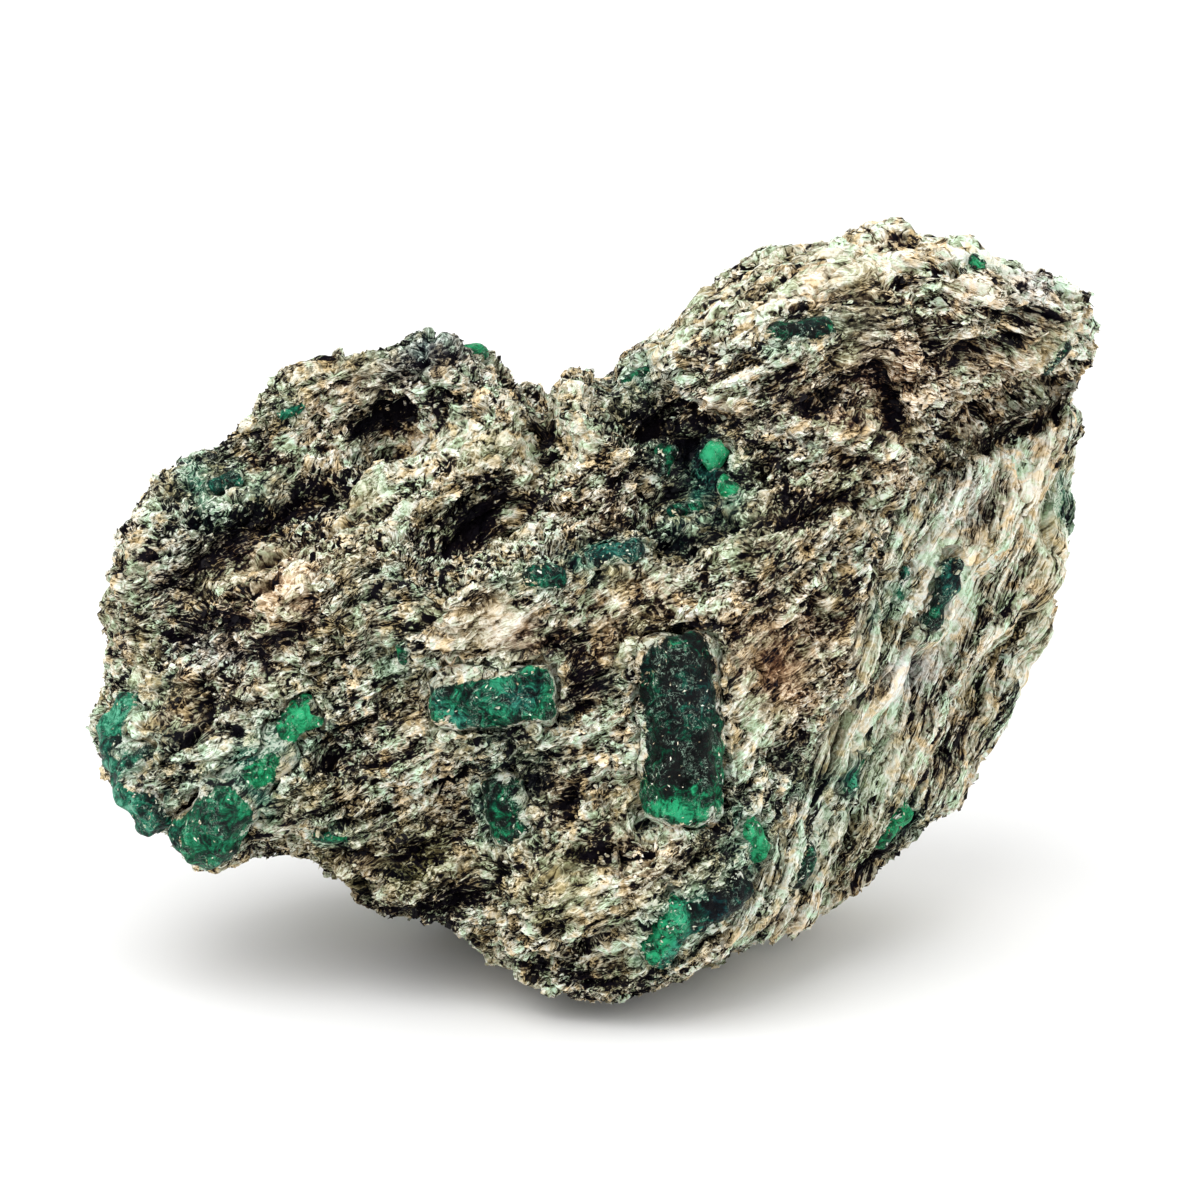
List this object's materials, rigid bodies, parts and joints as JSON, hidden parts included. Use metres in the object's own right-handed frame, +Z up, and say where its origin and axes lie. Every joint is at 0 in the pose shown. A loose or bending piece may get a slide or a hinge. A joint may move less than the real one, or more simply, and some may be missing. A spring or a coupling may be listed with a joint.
{
  "type": "emerald in matrix",
  "caption": "Hand specimen of green emerald crystals set in a rough block of layered mica schist, standing on its own worn base.",
  "frame": {"origin": "middle of the bounding box's bottom, at the level of the worn flat that the block stands on", "axes": "+X to the right across the show face, which faces -Y and leans back, +Z up"},
  "size_m": [0.1012, 0.0654, 0.0729],
  "materials": {
    "schist": "rough, glittering with mica",
    "emerald_dark": "vitreous, nearly opaque",
    "emerald_bright": "vitreous, translucent",
    "emerald_pale": "vitreous, translucent"
  },
  "bodies": {
    "root": {"matrix": "schist", "emerald_main": "emerald_dark", "emerald_centre_left": "emerald_dark", "emerald_lower_centre": "emerald_dark", "emerald_lower_right": "emerald_bright", "emerald_foot_cluster": "emerald_dark", "emerald_edge_cluster": "emerald_pale", "emerald_left_cluster": "emerald_bright", "emerald_left_sliver": "emerald_bright", "emerald_bead": "emerald_bright", "emerald_bead_low": "emerald_bright", "emerald_gap": "emerald_dark", "emerald_gap_low": "emerald_dark", "emerald_band_right": "emerald_dark", "emerald_band_left": "emerald_dark", "emerald_brow": "emerald_dark", "emerald_crown": "emerald_bright", "emerald_shoulder": "emerald_pale", "emerald_upper_left": "emerald_pale", "emerald_outer_left": "emerald_dark", "emerald_small_centre": "emerald_bright", "emerald_face_upper": "emerald_dark", "emerald_face_long": "emerald_dark", "emerald_face_low": "emerald_bright", "emerald_edge_right": "emerald_bright", "emerald_face_foot": "emerald_dark", "emerald_top_right": "emerald_bright", "emerald_right_tip": "emerald_dark", "emerald_notch": "emerald_dark", "emerald_back_large": "emerald_dark", "emerald_back_right": "emerald_bright", "emerald_back_low": "emerald_dark", "emerald_back_left": "emerald_bright", "emerald_back_top": "emerald_dark"}
  },
  "joints": []
}
